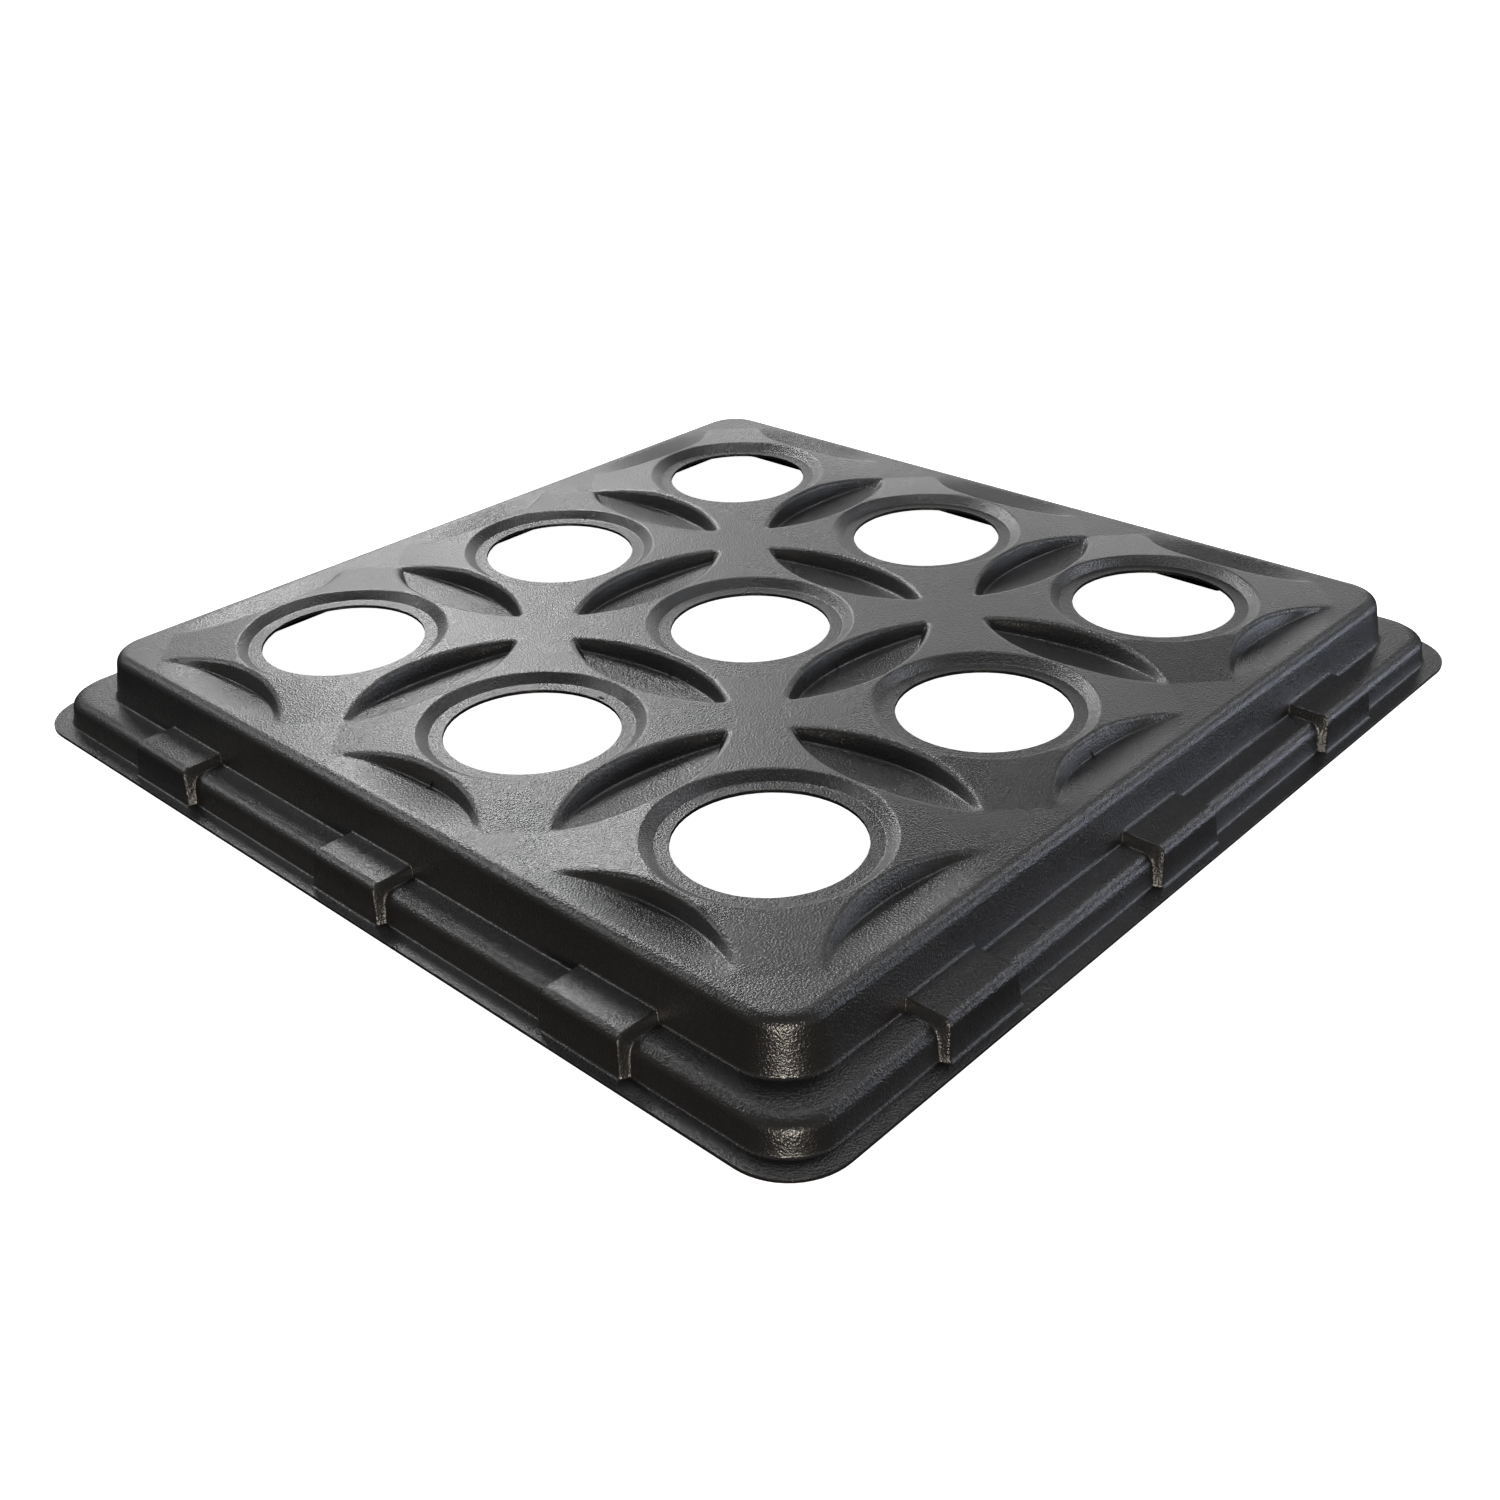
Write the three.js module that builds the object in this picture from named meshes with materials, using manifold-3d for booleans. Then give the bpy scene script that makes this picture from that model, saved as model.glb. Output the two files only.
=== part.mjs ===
// Nine-hole stackable pallet tray, vacuum formed from one heavy sheet of black polyethylene.
// Millimetres, +Z up, origin under the middle of the tray on the surface that it stands on.
import * as THREE from 'three';
import { mergeVertices } from 'three/addons/utils/BufferGeometryUtils.js';
import Module from 'manifold-3d';

const wasm = await Module();
wasm.setup();

// ---- driving dimensions -------------------------------------------------------------------
const sheet = 4; // thickness of the formed sheet
const pitch = 336; // spacing of the holes, both ways
const holeRadius = 93.5;

const flange = { half: 605, corner: 66 };
const lowerTier = { half: 585.5, corner: 55.5, baseZ: 4, topZ: 35, draft: 0.177 };
const upperTier = { half: 545.5, corner: 57.5, baseZ: 35, topZ: 87, draft: 0.194 };
const deckHalf = upperTier.half - (upperTier.topZ - upperTier.baseZ) * upperTier.draft;
const deckZ = upperTier.topZ;
const plateauZ = 96;
const trimHalf = deckHalf - 2 * sheet; // the raised work stops here, short of the deck's edge

// stacking lugs: three blocks a side that stand on the flange and reach above the ledge
const lug = {
  width: 108, reach: 594.2, rootAt: 530, baseZ: 4, topZ: 45, sideDraft: 0.15, faceDraft: 0.1,
  spacing: 338, shift: -8,
};

// raised diamond round each hole: its four flanks fall from the plateau to the deck
const diamond = { topReach: 158, deckReach: 290 };

// shallow dish round each hole, down to a flat ring at deck level
const dish = { ringRadius: 108.5, rimRadius: 121 };

// lens pocket between two neighbouring holes, and the half-open crescent at the deck's edge
const pocket = { footRadius: 201.5, rimRadius: 208.6, depth: 13, floorRadius: 650 };
const crescent = { footRadius: 201.5, rimRadius: 208.6, depth: 10.5, floorRadius: 560 };

const overcut = 6; // how far a cutting body runs past the face that it cuts through
const holeCutDepth = 24; // reach of the hole cutter under the deck
const roundSteps = 28; // sides of a hole and its dish
const arcSteps = 40; // sides of the large pocket arcs
const cornerSteps = 3; // sides of a rounded corner of a tier
const floorSteps = 3; // sides of a sagging pocket floor

// ---- small helpers ------------------------------------------------------------------------
function toSolid(geometry) {
  const bare = geometry.clone();
  bare.deleteAttribute('normal');
  bare.deleteAttribute('uv');
  const merged = mergeVertices(bare);
  return new wasm.Manifold(new wasm.Mesh({
    numProp: 3,
    vertProperties: new Float32Array(merged.attributes.position.array),
    triVerts: new Uint32Array(merged.index.array),
  }));
}

function toGeometry(solid) {
  const mesh = solid.getMesh();
  const geometry = new THREE.BufferGeometry();
  geometry.setAttribute('position', new THREE.BufferAttribute(mesh.vertProperties, 3));
  geometry.setIndex(new THREE.BufferAttribute(mesh.triVerts, 1));
  geometry.computeVertexNormals();
  return geometry;
}

// The inner skin is the outer skin moved in by the sheet: every level drops by `inset` and
// every wall steps sideways by this much, so the thickness is the same on slopes and flats.
function wallStep(inset, run, rise) {
  return inset * Math.tan(Math.atan2(rise, run) / 2);
}

// Cone frustum on the Z axis. With four sides its corners lie on the X and Y axes.
function frustum(lowRadius, highRadius, lowZ, highZ, sides) {
  const geometry = new THREE.CylinderGeometry(highRadius, lowRadius, highZ - lowZ, sides);
  geometry.rotateX(Math.PI / 2);
  geometry.translate(0, 0, (lowZ + highZ) / 2);
  return geometry;
}

function roundedSquare(half, corner) {
  const core = half - corner;
  const shape = new THREE.Shape();
  shape.absarc(core, core, corner, 0, Math.PI / 2);
  shape.absarc(-core, core, corner, Math.PI / 2, Math.PI);
  shape.absarc(-core, -core, corner, Math.PI, 1.5 * Math.PI);
  shape.absarc(core, -core, corner, 1.5 * Math.PI, 2 * Math.PI);
  return shape;
}

// Rounded-square block whose walls lean in by `draft` mm for each mm of height.
function draftedBlock(half, corner, lowZ, highZ, draft) {
  const height = highZ - lowZ;
  const outline = roundedSquare(half, corner);
  const geometry = new THREE.ExtrudeGeometry(outline, {
    depth: height, bevelEnabled: false, curveSegments: cornerSteps,
  });
  const core = half - corner;
  const shrink = 1 - (height * draft) / corner;
  const points = geometry.attributes.position;
  for (let i = 0; i < points.count; i += 1) {
    const x = points.getX(i);
    const y = points.getY(i);
    const z = points.getZ(i);
    const coreX = THREE.MathUtils.clamp(x, -core, core);
    const coreY = THREE.MathUtils.clamp(y, -core, core);
    const keep = z > height / 2 ? shrink : 1;
    points.setXYZ(i, coreX + (x - coreX) * keep, coreY + (y - coreY) * keep, z + lowZ);
  }
  return geometry;
}

// Outline in the X-Z plane, pushed along Y by `length`, centred on Y = 0.
function profileBlock(outline, length, curveSegments) {
  const geometry = new THREE.ExtrudeGeometry(outline, { depth: length, bevelEnabled: false, curveSegments });
  geometry.rotateX(Math.PI / 2);
  geometry.translate(0, length / 2, 0);
  return geometry;
}

// ---- the formed body, as a solid block with the tray's outer skin -----------------------------
function tier(size, inset, lowZ) {
  const step = wallStep(inset, size.draft, 1);
  const grown = (size.baseZ - inset - lowZ) * size.draft;
  const half = size.half - step + grown;
  const corner = size.corner - step + grown;
  return toSolid(draftedBlock(half, corner, lowZ, size.topZ - inset, size.draft));
}

// One lug on the -Y side, at `along` on X; its root is buried in the upper tier.
function lugBlock(along, inset, lowZ) {
  const height = lug.topZ - inset - lowZ;
  const below = lug.baseZ - inset - lowZ;
  const lowHalf = lug.width / 2 - wallStep(inset, lug.sideDraft, 1) + below * lug.sideDraft;
  const lowReach = lug.reach - wallStep(inset, lug.faceDraft, 1) + below * lug.faceDraft;
  const outline = new THREE.Shape();
  outline.moveTo(-lowHalf, -lowReach);
  outline.lineTo(lowHalf, -lowReach);
  outline.lineTo(lowHalf, -lug.rootAt);
  outline.lineTo(-lowHalf, -lug.rootAt);
  const geometry = new THREE.ExtrudeGeometry(outline, { depth: height, bevelEnabled: false });
  const points = geometry.attributes.position;
  for (let i = 0; i < points.count; i += 1) {
    const x = points.getX(i);
    const y = points.getY(i);
    const z = points.getZ(i);
    points.setX(i, x - Math.sign(x) * z * lug.sideDraft);
    points.setY(i, y < -lug.rootAt ? y + z * lug.faceDraft : y);
  }
  geometry.translate(along, 0, lowZ);
  return geometry;
}

// The lugs of every side sit off its middle, towards the -X end or the -Y end of that side.
function lugs(inset, lowZ) {
  let all = null;
  for (let side = 0; side < 4; side += 1) {
    const towards = side < 2 ? 1 : -1;
    for (const place of [-1, 0, 1]) {
      const block = lugBlock(place * lug.spacing + lug.shift * towards, inset, lowZ);
      const solid = toSolid(block.rotateZ((side * Math.PI) / 2));
      all = all ? all.add(solid) : solid;
    }
  }
  return all;
}

function diamondBlock(inset) {
  const rise = plateauZ - deckZ;
  const run = diamond.deckReach - diamond.topReach;
  const step = wallStep(inset, run, rise);
  const highZ = plateauZ - inset;
  const lowZ = deckZ - inset - overcut;
  const topReach = diamond.topReach - step;
  const lowReach = topReach + (run * (highZ - lowZ)) / rise;
  return frustum(lowReach, topReach, lowZ, highZ, 4);
}

// ---- cuts that the forming tool presses into the deck -------------------------------------------
// Wall of a pocket: radius footRadius at the floor, opening to rimRadius at the plateau.
function pocketWall(size, inset) {
  const footZ = deckZ - size.depth;
  const run = size.rimRadius - size.footRadius;
  const rise = plateauZ - footZ;
  const step = wallStep(inset, run, rise);
  const lowZ = footZ - inset - overcut;
  const highZ = plateauZ - inset + overcut;
  const lowRadius = size.footRadius + step - (run * overcut) / rise;
  const highRadius = size.rimRadius + step + (run * overcut) / rise;
  return frustum(lowRadius, highRadius, lowZ, highZ, arcSteps);
}

// Floor that sags as an arc of `radius`, deepest on the Y axis, with all the room above it.
function saggingRoom(depth, radius, inset, length) {
  const centreZ = deckZ - depth + radius;
  const spread = Math.asin(pitch / 2 / (radius + inset));
  const outline = new THREE.Shape();
  outline.absarc(0, centreZ, radius + inset, -Math.PI / 2 - spread, -Math.PI / 2 + spread);
  outline.lineTo(pitch / 2, plateauZ + 2 * overcut);
  outline.lineTo(-pitch / 2, plateauZ + 2 * overcut);
  return profileBlock(outline, length, floorSteps);
}

// Lens pocket, centred on the origin, long axis along X, between holes on the Y axis.
function lensPocket(inset) {
  const wall = pocketWall(pocket, inset);
  const nearWall = toSolid(wall.clone().translate(0, -pitch / 2, 0));
  const farWall = toSolid(wall.clone().translate(0, pitch / 2, 0));
  const room = toSolid(saggingRoom(pocket.depth, pocket.floorRadius, inset, pitch / 2));
  return toGeometry(nearWall.intersect(farWall).intersect(room));
}

// Crescent beside an edge hole: the same wall, struck from one pitch outside. Its floor climbs from
// the wall's foot to the deck's edge and to both tips, and the diamond's corner is cleared to deck
// level. The origin is the centre of the wall's arc and the tray lies towards -X.
function crescentPocket(inset) {
  const edge = 2 * pitch - deckHalf;
  const slope = crescent.depth / (crescent.footRadius - edge);
  const near = edge - overcut;
  const far = crescent.rimRadius + overcut;
  const outline = new THREE.Shape();
  outline.moveTo(-far, deckZ - inset - (far - edge) * slope);
  outline.lineTo(-near, deckZ - inset - (near - edge) * slope);
  outline.lineTo(-near, plateauZ + overcut);
  outline.lineTo(-far, plateauZ + overcut);
  const climbing = toSolid(profileBlock(outline, 2 * far, floorSteps));
  const sag = saggingRoom(crescent.depth, crescent.floorRadius, inset, 2 * far);
  const sagging = toSolid(sag.rotateZ(Math.PI / 2));
  const aboveDeck = toSolid(draftedBlock(far, 1, deckZ - inset, plateauZ + overcut, 0));
  const wall = toSolid(pocketWall(crescent, inset));
  return toGeometry(wall.intersect(climbing.intersect(sagging).add(aboveDeck)));
}

function dishCut(inset) {
  const run = dish.rimRadius - dish.ringRadius;
  const rise = plateauZ - deckZ;
  const step = wallStep(inset, run, rise);
  const over = (run * overcut) / rise;
  const highZ = plateauZ - inset + overcut;
  return frustum(dish.ringRadius + step, dish.rimRadius + step + over, deckZ - inset, highZ, roundSteps);
}

// ---- layout on the three-by-three grid ------------------------------------------------------------
const rows = [-pitch, 0, pitch];

function cutPockets(body, inset) {
  const lens = lensPocket(inset);
  const edgePocket = crescentPocket(inset);
  const round = dishCut(inset);
  let formed = body;
  for (const row of rows) {
    for (const between of [-pitch / 2, pitch / 2]) {
      formed = formed.subtract(toSolid(lens.clone().translate(row, between, 0)));
      formed = formed.subtract(toSolid(lens.clone().rotateZ(Math.PI / 2).translate(between, row, 0)));
    }
    for (let side = 0; side < 4; side += 1) {
      const placed = edgePocket.clone().translate(2 * pitch, row, 0).rotateZ((side * Math.PI) / 2);
      formed = formed.subtract(toSolid(placed));
    }
    for (const column of rows) {
      formed = formed.subtract(toSolid(round.clone().translate(column, row, 0)));
    }
  }
  return formed;
}

// Everything between the tray's skin and `lowZ`; `inset` 0 is the outer skin.
function formedBody(inset, lowZ) {
  let raised = toSolid(draftedBlock(pitch, 1, deckZ - inset - overcut, plateauZ - inset, 0));
  for (const x of rows) {
    for (const y of rows) {
      raised = raised.add(toSolid(diamondBlock(inset).translate(x, y, 0)));
    }
  }
  const upper = tier(upperTier, inset, upperTier.baseZ - inset - overcut);
  const trimZ = deckZ - inset - 2 * overcut;
  const deckArea = toSolid(draftedBlock(trimHalf, upperTier.corner, trimZ, plateauZ, 0));
  const skinned = cutPockets(upper.add(raised.intersect(deckArea)), inset);
  return tier(lowerTier, inset, lowZ).add(lugs(inset, lowZ)).add(skinned);
}

function formedSheet() {
  const rim = toSolid(draftedBlock(flange.half, flange.corner, 0, sheet, 0));
  const outer = formedBody(0, 1).add(rim);
  const hollow = formedBody(sheet, -overcut);
  let shell = outer.subtract(hollow);
  for (const x of rows) {
    for (const y of rows) {
      const hole = frustum(holeRadius, holeRadius, deckZ - holeCutDepth, plateauZ, roundSteps);
      shell = shell.subtract(toSolid(hole.translate(x, y, 0)));
    }
  }
  return toGeometry(shell);
}

// ---- the tray ---------------------------------------------------------------------------------------
const blackPolyethylene = new THREE.MeshStandardMaterial({
  color: 0x1d1e20, roughness: 0.5, metalness: 0, flatShading: true,
});

const tray = new THREE.Group();
const sheetMesh = new THREE.Mesh(formedSheet(), blackPolyethylene);
sheetMesh.name = 'formed_sheet';
tray.add(sheetMesh);

export default tray;
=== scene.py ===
import math

import bpy
import numpy as np
from mathutils import Euler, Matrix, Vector
from mathutils.geometry import delaunay_2d_cdt


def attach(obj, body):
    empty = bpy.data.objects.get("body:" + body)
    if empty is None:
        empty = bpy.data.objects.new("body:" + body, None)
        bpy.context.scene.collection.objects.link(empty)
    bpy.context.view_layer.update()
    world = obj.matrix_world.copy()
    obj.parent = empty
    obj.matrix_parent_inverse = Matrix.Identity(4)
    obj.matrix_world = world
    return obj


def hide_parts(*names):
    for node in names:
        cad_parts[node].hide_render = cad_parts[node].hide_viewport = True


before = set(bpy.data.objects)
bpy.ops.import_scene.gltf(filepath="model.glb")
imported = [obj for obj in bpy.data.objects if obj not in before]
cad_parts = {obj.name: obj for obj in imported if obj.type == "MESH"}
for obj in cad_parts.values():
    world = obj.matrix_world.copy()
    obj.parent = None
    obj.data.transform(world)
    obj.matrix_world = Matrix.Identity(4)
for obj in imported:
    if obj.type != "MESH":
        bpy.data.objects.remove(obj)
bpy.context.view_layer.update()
mm = 0.001

# Sizes in millimetres. Heights are measured from the deck, which is 0.
tray = {
    "deckHeight": 85,  # the middle level of the deck above the floor
    "edgeLift": 3,  # the deck's border stands this much above that level
    "sag": 8,  # and the middle hangs this far below the border, as a formed sheet does once it has cooled
    "sheet": 4,
    "cutBevel": 0.4,  # the trimmed edges are broken by this much
    "pitch": 336,
    "holeRadius": 93.5,
    "plateau": 9,
    "facet": {"top": 158, "foot": 290, "topSoft": 4, "footSoft": 1.5},
    "dish": {"foot": 108.5, "angle": 35.8, "footFillet": 3, "topFillet": 6},
    "pocket": {"foot": 201.5, "angle": 72, "footFillet": 3, "topFillet": 8},
    "lens": {"depth": 13, "sag": 650},
    "crescent": {"depth": 10.5, "apex": 469, "edge": 522, "tip": 110},
    "deckHalf": 524,  # the flat of the deck ends here and the edge fillet begins
    "deckCore": 488,  # centre of the deck's corner arcs
    "fineRing": 1.25,  # degrees between points on the pocket walls
    "holeRing": 3.75,  # degrees between points round a hole
    "fill": 10,  # spacing of points on the flats
    "seamFill": 5.5,  # and along the two lines that the octant is mirrored in
    "sideFill": 6.5,  # and along the deck's edge, away from the lugs
}


def filletedStep(distance, size, rise):
    # 0 on the floor, 1 on the land above, with a fillet at the foot and at the top of the wall
    angle = math.radians(size["angle"])
    footFillet, topFillet = size["footFillet"], size["topFillet"]
    footRun, footRise = footFillet * math.sin(angle), footFillet * (1 - math.cos(angle))
    topRun, topRise = topFillet * math.sin(angle), topFillet * (1 - math.cos(angle))
    wallRun = (rise - footRise - topRise) / math.tan(angle)
    start = size["foot"] - footRun + footRise / math.tan(angle)
    run = footRun + wallRun + topRun
    u = np.clip(distance - start, 0, run)
    low = footFillet - np.sqrt(np.maximum(footFillet**2 - np.minimum(u, footRun) ** 2, 0))
    wall = footRise + (u - footRun) * math.tan(angle)
    high = rise - topFillet + np.sqrt(np.maximum(topFillet**2 - np.minimum(run - u, topRun) ** 2, 0))
    shape = np.where(u < footRun, low, np.where(u < footRun + wallRun, wall, high)) / rise
    stations = [start + s for s in np.linspace(0, footRun, 4)]
    stations += [start + footRun + wallRun * s for s in (0.33, 0.67, 1)]
    stations += [start + footRun + wallRun + topRun * s for s in (0.25, 0.5, 0.75, 1)]
    return shape, stations


def softCorner(x, soft):
    # max(x, 0) with its corner rounded off over +-soft
    return np.where(np.abs(x) < soft, (x + soft) ** 2 / (4 * soft), np.maximum(x, 0))


def deckHeightAt(x, y):
    # the deck is the same in all eight octants, so every point is folded into the first one
    a, b = np.maximum(np.abs(x), np.abs(y)), np.minimum(np.abs(x), np.abs(y))
    pitch, top = tray["pitch"], tray["plateau"]
    facet, crescent, lens = tray["facet"], tray["crescent"], tray["lens"]
    nearA, nearB = np.clip(np.round(a / pitch), 0, 1) * pitch, np.clip(np.round(b / pitch), 0, 1) * pitch
    reach = np.abs(a - nearA) + np.abs(b - nearB)
    fall = softCorner(reach - facet["top"], facet["topSoft"])
    fall = fall - softCorner(reach - facet["foot"], facet["footSoft"])
    land = np.where(a <= pitch, top, top * (1 - fall / (facet["foot"] - facet["top"])))
    z = land
    wallRise = lens["depth"] + top
    for first, second, along in (((0, 0), (pitch, 0), b), ((pitch, 0), (pitch, pitch), a - pitch)):
        firstWall = filletedStep(np.hypot(a - first[0], b - first[1]), tray["pocket"], wallRise)[0]
        secondWall = filletedStep(np.hypot(a - second[0], b - second[1]), tray["pocket"], wallRise)[0]
        along = np.minimum(np.abs(along), pitch / 2)
        floor = lens["sag"] - lens["depth"] - np.sqrt(lens["sag"] ** 2 - along**2)
        z = floor + (z - floor) * (1 - (1 - firstWall) * (1 - secondWall))
    for row in (0, pitch):
        wall = filletedStep(np.hypot(a - 2 * pitch, b - row), tray["pocket"], wallRise)[0]
        climb = np.clip((crescent["edge"] - a) / (crescent["edge"] - crescent["apex"]), 0, 1)
        floor = -crescent["depth"] * climb * np.clip(1 - ((b - row) / crescent["tip"]) ** 2, 0, 1)
        z = floor + (z - floor) * wall
    return z * filletedStep(np.hypot(a - nearA, b - nearB), tray["dish"], top)[0]


def sagAt(x, y):
    out = np.clip(np.hypot(x, y) / tray["deckHalf"], 0, 1)
    return tray["edgeLift"] - tray["sag"] * (1 - out**2) ** 2


def sheetHeightAt(x, y):
    return deckHeightAt(x, y) + sagAt(x, y)


# Three hollow lugs on each side
lug = {
    "spacing": 338,
    "shift": 8,  # the middle lug stands this far off the middle of its side
    "width": 103,
    "widthLevel": -58,  # height at which a lug has that width
    "flankLean": 0.14,
    "flankRun": 7,  # a flank is spread over this much of the side
    "closeFrom": -9,  # points lie 1 mm apart from here
    "closeTo": 7.1,  # to here, measured from each flank
    "clear": 10,
}


def sideStations():
    # half a side: close together where a lug's flank may stand, wider apart between
    flanks = [abs(place * lug["spacing"] + s * lug["shift"] + t * lug["width"] / 2)
              for place in (0, 1) for s in (-1, 1) for t in (-1, 1)]
    dense = [f + d for f in flanks for d in np.arange(lug["closeFrom"], lug["closeTo"], 1.0)]
    even = np.arange(0, tray["deckCore"], tray["sideFill"])
    plain = [s for s in even if min(abs(s - f) for f in flanks) > lug["clear"]]
    every = sorted(set(np.round(plain + dense + [tray["deckCore"]], 3)))
    least = 0.6  # points closer than this are left out
    kept = [0.0]
    for s in every:
        if least < s - kept[-1] and s <= tray["deckCore"]:
            kept.append(float(s))
    kept[-1] = float(tray["deckCore"])
    return kept


cornerAngles = [math.radians(a) for a in np.linspace(0, 45, 8)]


def octantDeck():
    pitch, half, core = tray["pitch"], tray["deckHalf"], tray["deckCore"]
    points, lines = [], []

    def inside(x, y):
        if y < -1e-4 or y > x + 1e-4 or x > half - 0.3:
            return False
        return x < core or y < core or math.hypot(x - core, y - core) < half - core - 0.3

    def addLine(line):
        last = None
        for x, y in line:
            if not inside(x, y):
                last = None
                continue
            points.append((x, max(y, 0)))
            if last is not None:
                lines.append((last, len(points) - 1))
            last = len(points) - 1

    def ring(centre, radius, step, keep):
        line = []
        for i in range(round(360 / step) + 1):
            angle = math.radians(i * step)
            x, y = centre[0] + radius * math.cos(angle), centre[1] + radius * math.sin(angle)
            line.append((x, y) if keep(x, y) else (-1, -1))
        addLine(line)

    wallRings = filletedStep(np.zeros(1), tray["pocket"], tray["lens"]["depth"] + tray["plateau"])[1]
    dishRings = filletedStep(np.zeros(1), tray["dish"], tray["plateau"])[1]
    holeEdge = tray["holeRadius"] + tray["cutBevel"]
    holes = [(0, 0), (pitch, 0), (pitch, pitch)]
    for hole in holes:
        for radius in [holeEdge, (holeEdge + dishRings[0]) / 2] + dishRings:
            ring(hole, radius, tray["holeRing"], lambda x, y: True)
    farEnough = dishRings[-1] + 0.5
    for first, second in ((holes[0], holes[1]), (holes[1], holes[2])):
        for near, other in ((first, second), (second, first)):
            for radius in wallRings:
                ring(near, radius, tray["fineRing"],
                     lambda x, y: farEnough < math.dist((x, y), other) < wallRings[-1] + 1)
    for row in (0, pitch):
        for radius in wallRings:
            ring((2 * pitch, row), radius, tray["fineRing"],
                 lambda x, y: math.dist((x, y), (pitch, row)) > farEnough)
    facet = tray["facet"]
    for reach, soft in ((facet["top"], facet["topSoft"]), (facet["foot"], facet["footSoft"])):
        for offset in (-soft, 0, soft):
            far = reach + offset
            steps = np.linspace(0, far, 40)
            beside = steps[steps <= pitch / 2]
            addLine([(pitch + far - s, s) for s in beside])
            addLine([(pitch + far - s, pitch - s) for s in beside])
            addLine([(pitch + far - s, pitch + s) for s in steps])
    fill = tray["fill"]
    wallMiddle, wallKeep, innerKeep, holeKeep = 207, 11, 9, 4  # how far loose points stay off the fine rings
    centres = holes + [(2 * pitch, 0), (2 * pitch, pitch)]
    for i, y in enumerate(np.arange(0, half, fill * 0.866)):
        for x in np.arange((i % 2) * fill / 2, half, fill):
            if y > x - 4 or x > half - 4 or not inside(x + 3, y) or (0 < y < 4):
                continue
            holeGap = min(math.dist((x, y), h) for h in holes)
            wallGap = min(abs(math.dist((x, y), c) - wallMiddle) for c in centres)
            offWall = wallGap > wallKeep or (min(x, y) > 0 and wallGap > innerKeep)
            if holeGap > dishRings[-1] + holeKeep and offWall:
                points.append((x, y))
    for x in np.arange(0, core, tray["seamFill"]):
        if min(math.dist((x, x), h) for h in holes) > holeEdge + 2:
            points.append((x, x))
        if min(math.dist((x, 0), h) for h in holes) > holeEdge + 2:
            points.append((x, 0))
    edge = [(half, s) for s in sideStations()[:-1]]
    edge += [(core + (half - core) * math.cos(a), core + (half - core) * math.sin(a)) for a in cornerAngles]
    start = len(points)
    points.extend(edge)
    lines.extend((start + i, start + i + 1) for i in range(len(edge) - 1))
    made = delaunay_2d_cdt([Vector(p) for p in points], lines, [], 0, 1e-3, False)
    flat = np.array([(v.x, v.y) for v in made[0]])
    faces = np.array([f for f in made[2] if len(f) == 3])
    middle = flat[faces].mean(axis=1)
    gaps = [np.hypot(middle[:, 0] - h[0], middle[:, 1] - h[1]) for h in holes]
    return flat, faces[np.min(gaps, axis=0) > holeEdge - 0.2]


def wholeDeck():
    flat, faces = octantDeck()
    allPoints, allFaces = [], []
    for swap in (False, True):
        for sx in (1, -1):
            for sy in (1, -1):
                piece = flat[:, ::-1] if swap else flat
                mirrored = swap ^ (sx * sy < 0)
                allFaces.append((faces[:, ::-1] if mirrored else faces) + len(flat) * len(allPoints))
                allPoints.append(piece * (sx, sy))
    flat = np.concatenate(allPoints)
    heights = sheetHeightAt(flat[:, 0], flat[:, 1])
    step = 0.15
    x, y = flat.T
    slopeX = (sheetHeightAt(x + step, y) - sheetHeightAt(x - step, y)) / (2 * step)
    slopeY = (sheetHeightAt(x, y + step) - sheetHeightAt(x, y - step)) / (2 * step)
    normals = np.column_stack([-slopeX, -slopeY, np.ones(len(flat))])
    return np.column_stack([flat, heights]), np.concatenate(allFaces), normals


# The skirt's section, out from the middle and down from the deck.
# Each corner is (out, down, fillet, points along the run to it).
skirt = {
    "plain": [(524, 3, 0, 0), (535.4, 3, 13, 1), (545.5, -50, 3, 4), (580, -50, 13, 3), (585.5, -81, 2.5, 3),
              (604.6, -81, 0, 3)],
    "lug": [(524, 3, 0, 0), (535.4, 3, 13, 1), (543.5, -40, 3, 4), (590, -40, 10, 3), (594.2, -81, 3, 3),
            (604.6, -81, 0, 3)],
    "filletSteps": 5,
    "coreOut": [546, 580, 585.5, 605],
    "core": [488, 530, 530, 539],
    "stretchFrom": 430,
}


def filletedSection(corners):
    points = [np.array(corners[0][:2], float)]
    last = points[0]
    for i in range(1, len(corners)):
        corner, fillet, runs = np.array(corners[i][:2], float), corners[i][2], corners[i][3]
        arc = [corner]
        if fillet:
            before = np.array(corners[i - 1][:2], float) - corner
            after = np.array(corners[i + 1][:2], float) - corner
            before, after = before / np.linalg.norm(before), after / np.linalg.norm(after)
            halfAngle = math.acos(np.clip(before @ after, -1, 1)) / 2
            bisector = (before + after) / np.linalg.norm(before + after)
            centre = corner + bisector * fillet / math.sin(halfAngle)
            start = corner + before * fillet / math.tan(halfAngle) - centre
            end = corner + after * fillet / math.tan(halfAngle) - centre
            sweep = math.pi - 2 * halfAngle
            arc = [centre + (start * math.sin((1 - t) * sweep) + end * math.sin(t * sweep)) / math.sin(sweep)
                   for t in np.linspace(0, 1, skirt["filletSteps"] + 1)]
        points += [last + (arc[0] - last) * s / runs for s in range(1, runs)]
        points += arc
        last = arc[-1]
    return np.array(points)


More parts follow.
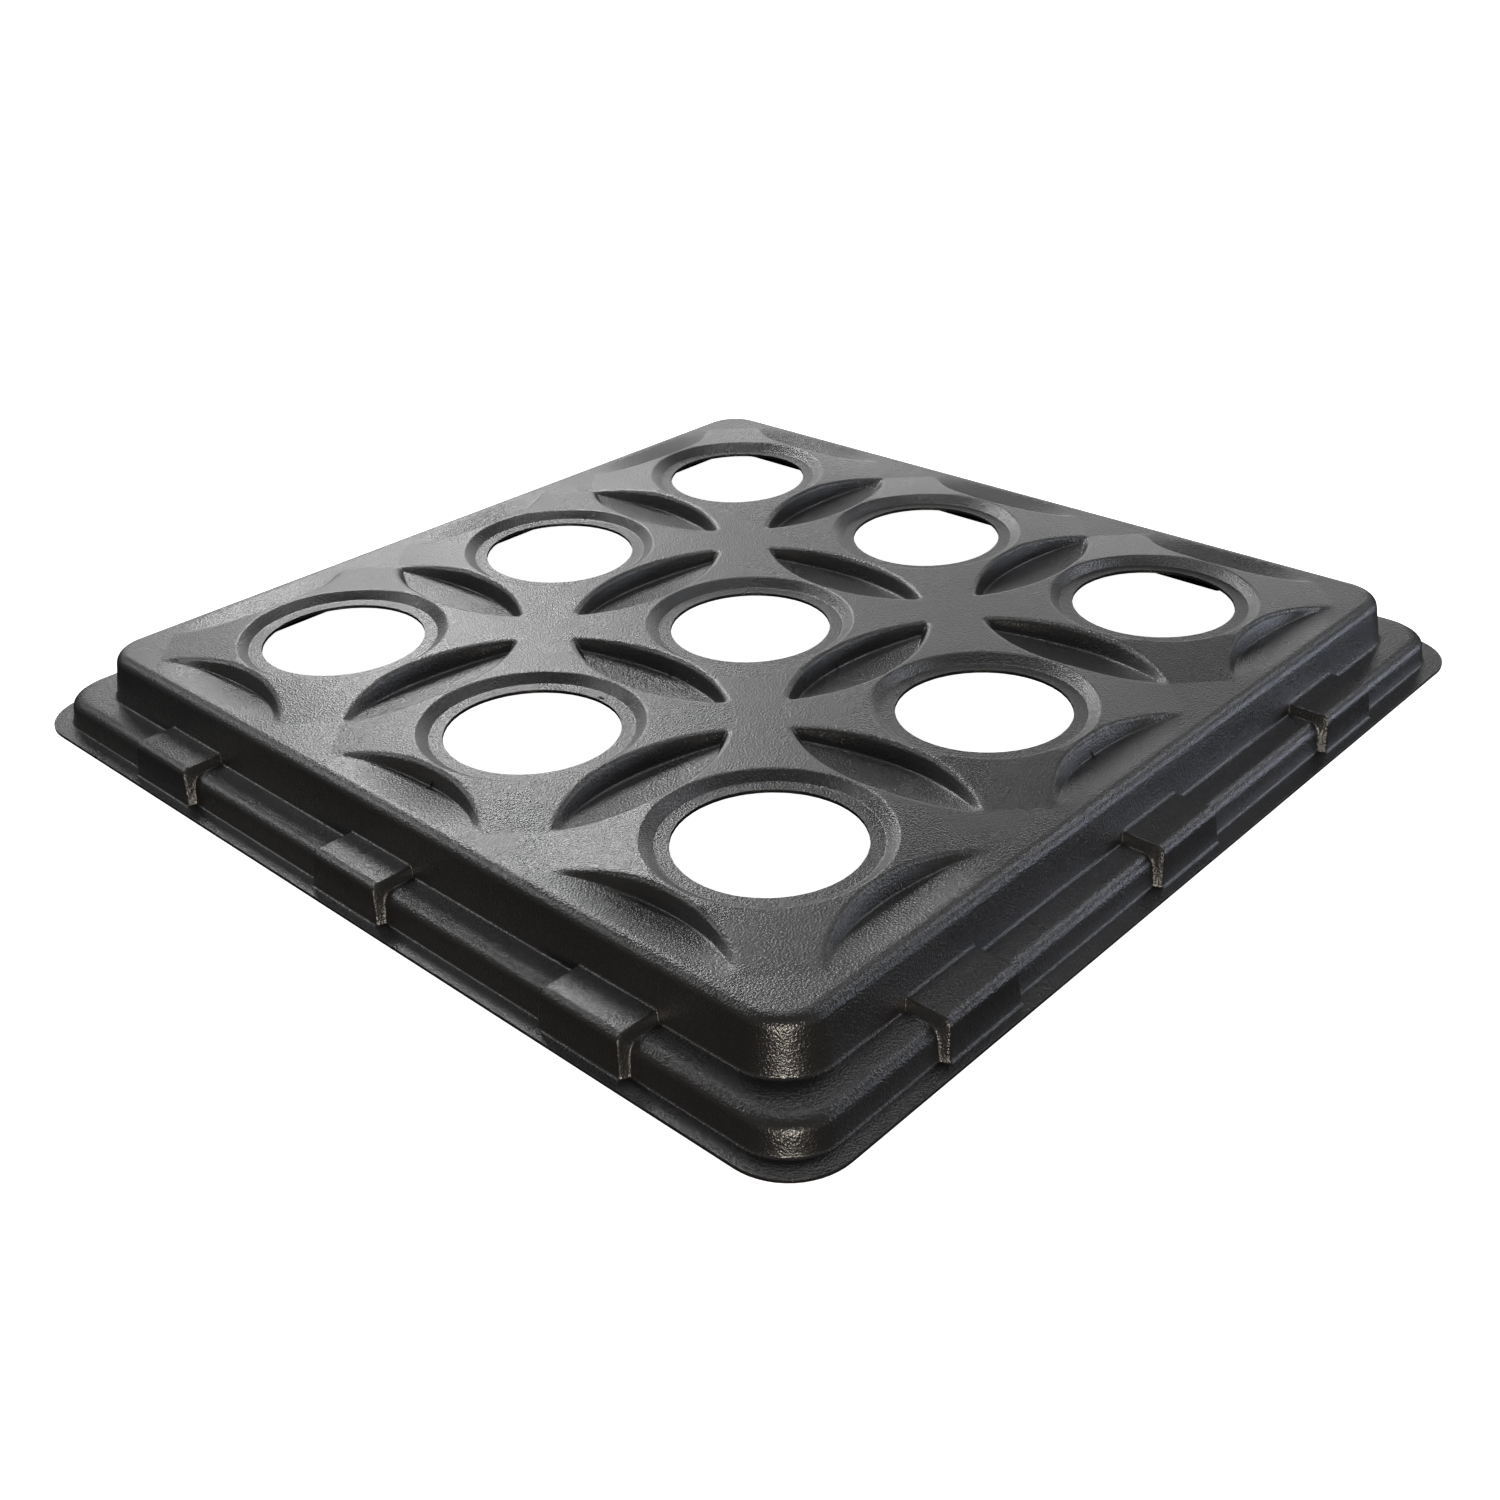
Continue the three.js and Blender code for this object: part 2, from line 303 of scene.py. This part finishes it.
def skirtSkin():
    half = sideStations()
    along = np.array([-s for s in half[::-1]] + half[1:])
    turn = np.zeros(len(along))
    corner = np.array(cornerAngles[1:])
    along = np.concatenate([[-tray["deckCore"]] * len(corner), along, [tray["deckCore"]] * len(corner)])
    turn = np.concatenate([-corner[::-1], turn, corner])
    plain, lugged = filletedSection(skirt["plain"]), filletedSection(skirt["lug"])
    rows = []
    for side in range(4):
        shift = -lug["shift"] if side in (0, 3) else lug["shift"]
        weight = np.zeros((len(along), len(plain)))
        for place in (-1, 0, 1):
            width = lug["width"] / 2 + (lug["widthLevel"] - plain[:, 1]) * lug["flankLean"]
            gap = np.abs(along[:, None] - place * lug["spacing"] - shift) - width[None, :]
            t = np.clip(0.5 - gap / lug["flankRun"], 0, 1)
            weight = np.maximum(weight, t * t * t * (t * (6 * t - 15) + 10))
        out = plain[None, :, 0] * (1 - weight) + lugged[None, :, 0] * weight
        down = plain[None, :, 1] * (1 - weight) + lugged[None, :, 1] * weight
        core = np.interp(plain[:, 0], skirt["coreOut"], skirt["core"])[None, :]
        stretchRun = tray["deckCore"] - skirt["stretchFrom"]
        stretch = np.clip((np.abs(along) - skirt["stretchFrom"]) / stretchRun, 0, 1)
        sideways = along[:, None] + np.sign(along)[:, None] * stretch[:, None] * (core - tray["deckCore"])
        x = core + (out - core) * np.cos(turn)[:, None]
        y = sideways + (out - core) * np.sin(turn)[:, None]
        for _ in range(side):
            x, y = -y, x
        rows.append(np.stack([x, y, down], axis=2)[:-1])
    grid = np.concatenate(rows)
    stations, steps = grid.shape[:2]
    normals = np.cross(np.gradient(grid, axis=1), np.roll(grid, -1, axis=0) - np.roll(grid, 1, axis=0))
    i, j = np.meshgrid(np.arange(stations), np.arange(steps - 1), indexing="ij")
    nextI = (i + 1) % stations
    here, ahead = i * steps + j, nextI * steps + j
    quads = np.stack([here, here + 1, ahead + 1, ahead], axis=2).reshape(-1, 4)
    faces = np.concatenate([quads[:, [0, 1, 2]], quads[:, [0, 2, 3]]])
    return grid.reshape(-1, 3), faces, normals.reshape(-1, 3)


def formedTray():
    deckPoints, deckFaces, deckNormals = wholeDeck()
    skirtPoints, skirtFaces, skirtNormals = skirtSkin()
    print("deck", len(deckFaces), "faces, skirt", len(skirtFaces), "faces")
    points = np.concatenate([deckPoints, skirtPoints])
    faces = np.concatenate([deckFaces, skirtFaces + len(deckPoints)])
    normals = np.concatenate([deckNormals, skirtNormals])
    _, first, whole = np.unique(np.round(points[:, :2], 2), axis=0, return_index=True, return_inverse=True)
    points, normals, faces = points[first], normals[first], whole.reshape(-1)[faces]
    normals /= np.linalg.norm(normals, axis=1)[:, None]
    faces = faces[(faces[:, 0] != faces[:, 1]) & (faces[:, 1] != faces[:, 2]) & (faces[:, 0] != faces[:, 2])]

    # the trimmed edges: every edge that only one face uses, at the rim and round the nine holes
    edges = np.concatenate([faces[:, [0, 1]], faces[:, [1, 2]], faces[:, [2, 0]]])
    seen = set(map(tuple, edges))
    rim = [(a, b) for a, b in edges if (b, a) not in seen]
    print("open edges", len(rim))
    pitch, bevel, sheet = tray["pitch"], tray["cutBevel"], tray["sheet"]
    count = len(points)
    under = points - normals * sheet
    allPoints, allNormals = [points, under], [normals, -normals]
    ringIndex = {}
    extra, extraNormals = [], []
    for a in sorted({v for e in rim for v in e}):
        p = points[a]
        hole = np.clip(np.round(p[:2] / pitch), -1, 1) * pitch
        if np.linalg.norm(p[:2] - hole) < tray["holeRadius"] + 5:
            out = (hole - p[:2]) / np.linalg.norm(hole - p[:2])
        else:
            core = skirt["core"][-1]
            out = p[:2] - np.clip(p[:2], -core, core)
            out = out / np.linalg.norm(out)
        out = np.array([out[0], out[1], 0])
        ringIndex[a] = 2 * count + len(extra)
        extra += [p + out * bevel - (0, 0, bevel), p + out * bevel - (0, 0, sheet - bevel)]
        extraNormals += [out, out]
    allPoints.append(np.array(extra))
    allNormals.append(np.array(extraNormals))
    strips = []
    for a, b in rim:
        ladderA, ladderB = [(v, ringIndex[v], ringIndex[v] + 1, v + count) for v in (a, b)]
        for k in range(3):
            strips.append((ladderB[k], ladderA[k], ladderA[k + 1]))
            strips.append((ladderB[k], ladderA[k + 1], ladderB[k + 1]))
    faces = np.concatenate([faces, faces[:, ::-1] + count, np.array(strips)])
    points = (np.concatenate(allPoints) + (0, 0, tray["deckHeight"])) * mm
    mesh = bpy.data.meshes.new("formedTray")
    mesh.from_pydata(points.tolist(), [], faces.tolist())
    mesh.polygons.foreach_set("use_smooth", [True] * len(faces))
    mesh.update()
    mesh.normals_split_custom_set_from_vertices(np.concatenate(allNormals).tolist())
    piece = bpy.data.objects.new("formedTray", mesh)
    bpy.context.scene.collection.objects.link(piece)
    print("tray", len(faces), "faces")
    return piece


def toLinear(hexColour):
    parts = [int(hexColour[i:i + 2], 16) / 255 for i in (1, 3, 5)]
    return [*(p / 12.92 if p <= 0.04045 else ((p + 0.055) / 1.055) ** 2.4 for p in parts), 1]


def addNode(tree, kind, settings=None, links=None):
    node = tree.nodes.new(kind)
    for name, value in (settings or {}).items():
        if name in node.inputs:
            node.inputs[name].default_value = value
        else:
            setattr(node, name, value)
    for name, source in (links or {}).items():
        tree.links.new(source, node.inputs[name])
    return node


# High density polyethylene sheet, vacuum formed over a mould: near black, with long soft highlights
# on its fillets and a faint warm-grey bloom.
# The haircell grain that is rolled into the sheet breaks every highlight into fine sparkle.
blackSheet = {
    "colour": "#161617",
    "dusty": "#1f1e1d",
    "roughness": 0.28,
    "roughnessSpread": 0.1,
    "ior": 1.54,
    "grain": 2.2,  # mm, the real haircell is finer and would be lost, so it is drawn coarser
    "grainDepth": 0.0004,
    "orangePeel": 14,  # mm, slow unevenness left by the mould
    "orangePeelDepth": 0.0004,
    "bloom": 6,  # clouds of bloom to a metre, about 17 cm each
}


def formedPolyethylene():
    material = bpy.data.materials.new("vacuumFormedPolyethylene")
    material.use_nodes = True
    tree = material.node_tree
    tree.nodes.clear()
    place = addNode(tree, "ShaderNodeTexCoord").outputs["Object"]
    grainScale = 1 / (blackSheet["grain"] * mm)
    cells = addNode(tree, "ShaderNodeTexVoronoi",
                    {"feature": "SMOOTH_F1", "Scale": grainScale, "Smoothness": 0.6}, {"Vector": place})
    hairs = addNode(tree, "ShaderNodeTexNoise", {"Scale": grainScale * 1.3, "Detail": 3, "Roughness": 0.6},
                    {"Vector": place})
    slow = addNode(tree, "ShaderNodeTexNoise", {"Scale": 1 / (blackSheet["orangePeel"] * mm), "Detail": 2},
                   {"Vector": place})
    cloud = addNode(tree, "ShaderNodeTexNoise", {"Scale": blackSheet["bloom"], "Detail": 5, "Roughness": 0.6},
                    {"Vector": place})
    grain = addNode(tree, "ShaderNodeMath", {"operation": "ADD"})
    tree.links.new(cells.outputs["Distance"], grain.inputs[0])
    tree.links.new(hairs.outputs["Fac"], grain.inputs[1])
    bumpSlow = addNode(tree, "ShaderNodeBump", {"Strength": 0.25, "Distance": blackSheet["orangePeelDepth"]},
                       {"Height": slow.outputs["Fac"]})
    bump = addNode(tree, "ShaderNodeBump", {"Strength": 1, "Distance": blackSheet["grainDepth"]},
                   {"Height": grain.outputs[0], "Normal": bumpSlow.outputs["Normal"]})
    low = blackSheet["roughness"] - blackSheet["roughnessSpread"] / 2
    high = low + blackSheet["roughnessSpread"]
    rough = addNode(tree, "ShaderNodeMapRange",
                    {"From Min": 0.3, "From Max": 0.7, "To Min": low, "To Max": high},
                    {"Value": cloud.outputs["Fac"]})
    tone = addNode(tree, "ShaderNodeMix", {"data_type": "RGBA"}, {"Factor": cloud.outputs["Fac"]})
    tone.inputs[6].default_value = toLinear(blackSheet["colour"])
    tone.inputs[7].default_value = toLinear(blackSheet["dusty"])
    shader = addNode(tree, "ShaderNodeBsdfPrincipled", {"IOR": blackSheet["ior"], "Metallic": 0},
                     {"Base Color": tone.outputs[2], "Roughness": rough.outputs["Result"],
                      "Normal": bump.outputs["Normal"]})
    addNode(tree, "ShaderNodeOutputMaterial", None, {"Surface": shader.outputs["BSDF"]})
    return material


formed = formedTray()
formed.data.materials.append(formedPolyethylene())
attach(formed, "root")
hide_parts("formed_sheet")

# Studio: a white sweep, which the lens sees as white while the tray sees a dim room
studio = {
    "floorHalf": 60,
    "floorGap": 0.0005,  # the floor lies just clear of the rim, so the two faces don't fight
    "floorColour": "#ffffff",
    "floorGlow": 1.0,
    "bounceColour": "#2c2c2e",
    "roomLight": 0.2,
    "boxes": [
        # name, place, size, watts, colour
        ("backWall", (2.1, 2.2, 0.7), (5.0, 1.2), 32, "#ffffff"),
        ("backLeftBox", (1.0, 2.15, 1.9), (0.75, 0.8), 40, "#ffffff"),
        ("overheadBox", (0.6, 0.3, 2.3), (0.8, 0.8), 9, "#ffffff"),
        ("leftBox", (-1.2, 1.8, 1.7), (0.9, 0.7), 16, "#ffffff"),
        ("rightBox", (1.7, -1.2, 1.8), (0.9, 0.7), 17, "#f2f5ff"),
        ("frontCard", (-2.2, -2.1, 0.25), (0.12, 0.6), 62, "#fff4e6"),
        ("rightCard", (1.3, -1.7, 0.2), (1.6, 0.4), 10, "#e6edff"),
    ],
}


def lensSeesWhite(tree, white, dim):
    path = addNode(tree, "ShaderNodeLightPath")
    mix = addNode(tree, "ShaderNodeMixShader", None, {"Fac": path.outputs["Is Camera Ray"]})
    tree.links.new(dim.outputs[0], mix.inputs[1])
    tree.links.new(white.outputs[0], mix.inputs[2])
    return mix


def makeStudio():
    mesh = bpy.data.meshes.new("floor")
    half = studio["floorHalf"]
    corners = [(-half, -half, 0), (half, -half, 0), (half, half, 0), (-half, half, 0)]
    mesh.from_pydata(corners, [], [(0, 1, 2, 3)])
    floor = bpy.data.objects.new("floor", mesh)
    floor.location.z = -studio["floorGap"]
    bpy.context.scene.collection.objects.link(floor)
    paper = bpy.data.materials.new("whiteSweepPaper")
    paper.use_nodes = True
    tree = paper.node_tree
    tree.nodes.clear()
    glow = addNode(tree, "ShaderNodeEmission",
                   {"Color": toLinear(studio["floorColour"]), "Strength": studio["floorGlow"]})
    lit = addNode(tree, "ShaderNodeBsdfDiffuse", {"Color": toLinear(studio["floorColour"])})
    both = addNode(tree, "ShaderNodeAddShader")
    tree.links.new(glow.outputs[0], both.inputs[0])
    tree.links.new(lit.outputs[0], both.inputs[1])
    dim = addNode(tree, "ShaderNodeBsdfDiffuse", {"Color": toLinear(studio["bounceColour"])})
    addNode(tree, "ShaderNodeOutputMaterial", None, {"Surface": lensSeesWhite(tree, both, dim).outputs[0]})
    floor.data.materials.append(paper)

    world = bpy.data.worlds.new("studioRoom")
    world.use_nodes = True
    tree = world.node_tree
    tree.nodes.clear()
    white = addNode(tree, "ShaderNodeBackground", {"Color": (1, 1, 1, 1), "Strength": studio["floorGlow"]})
    dim = addNode(tree, "ShaderNodeBackground", {"Color": (1, 1, 1, 1), "Strength": studio["roomLight"]})
    addNode(tree, "ShaderNodeOutputWorld", None, {"Surface": lensSeesWhite(tree, white, dim).outputs[0]})
    bpy.context.scene.world = world

    for name, place, size, watts, colour in studio["boxes"]:
        light = bpy.data.lights.new(name, "AREA")
        light.shape, light.size, light.size_y = "RECTANGLE", size[0], size[1]
        light.energy, light.color = watts, toLinear(colour)[:3]
        lamp = bpy.data.objects.new(name, light)
        lamp.location = place
        lamp.rotation_euler = (Vector((0, 0, 0.05)) - Vector(place)).to_track_quat("-Z", "Y").to_euler()
        bpy.context.scene.collection.objects.link(lamp)


camera = {"place": (-1.2933, -1.2359, 0.9371), "turn": (60.28, 1.84, -47.17), "lens": 40.4, "shift": -0.0018}


def makeCamera():
    data = bpy.data.cameras.new("camera")
    data.lens, data.sensor_width, data.shift_y = camera["lens"], 36, camera["shift"]
    view = bpy.data.objects.new("camera", data)
    view.location = camera["place"]
    view.rotation_euler = Euler([math.radians(a) for a in camera["turn"]])
    bpy.context.scene.collection.objects.link(view)
    bpy.context.scene.camera = view


makeStudio()
makeCamera()
bpy.context.scene.view_settings.view_transform = "Standard"
